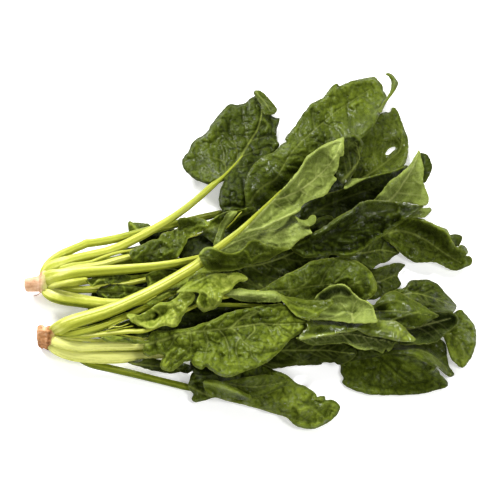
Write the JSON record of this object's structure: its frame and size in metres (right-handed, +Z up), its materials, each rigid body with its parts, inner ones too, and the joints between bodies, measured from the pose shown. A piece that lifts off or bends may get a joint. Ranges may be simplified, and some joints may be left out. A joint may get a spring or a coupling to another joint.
{
  "type": "spinach bunch",
  "caption": "Bunch of fresh spinach lying down: pink cut roots, ridged pale stalks and a heap of crinkled dark green leaves.",
  "frame": {"origin": "middle of the footprint, on the surface the bunch lies on", "axes": "+X runs from the roots to the leaf tips, +Z is up from the surface, +Y is away from the viewer"},
  "size_m": [0.33, 0.296, 0.0414],
  "materials": {
    "leaf_dark": "satin",
    "leaf_green": "satin",
    "leaf_pale": "satin",
    "root_pink": "matte",
    "root_brown": "matte"
  },
  "bodies": {
    "root": {"upper_leaf_shaded_middle": "leaf_dark", "upper_leaf_dark_tip": "leaf_dark", "lower_leaf_right_upper": "leaf_dark", "upper_leaf_under_glossy": "leaf_dark", "upper_leaf_dark_core": "leaf_dark", "upper_leaf_bent_stalk": "leaf_dark", "upper_leaf_small_round": "leaf_dark", "upper_leaf_heart_lower": "leaf_dark", "upper_leaf_long_glossy": "leaf_dark", "lower_leaf_shaded_under": "leaf_dark", "lower_leaf_front_right": "leaf_dark", "lower_leaf_pointed_tip": "leaf_dark", "lower_leaf_rolled_edge": "leaf_dark", "lower_leaf_front_folded": "leaf_green", "lower_leaf_far_right": "leaf_green", "upper_leaf_back_right": "leaf_green", "lower_leaf_right_glossy": "leaf_green", "upper_leaf_right_tip": "leaf_green", "upper_leaf_far_left": "leaf_green", "upper_leaf_back_large": "leaf_green", "upper_leaf_savoy_inner": "leaf_green", "upper_leaf_round_tip": "leaf_green", "lower_leaf_savoy_large": "leaf_green", "upper_leaf_pale_back": "leaf_pale", "upper_leaf_folded_inner": "leaf_pale", "upper_leaf_heart_middle": "leaf_pale", "lower_leaf_arched": "leaf_pale", "lower_leaf_curly_inner": "leaf_pale", "lower_leaf_crossing_pale": "leaf_pale", "upper_root_and_crown": "root_pink", "lower_root_and_crown": "root_brown"}
  },
  "joints": []
}
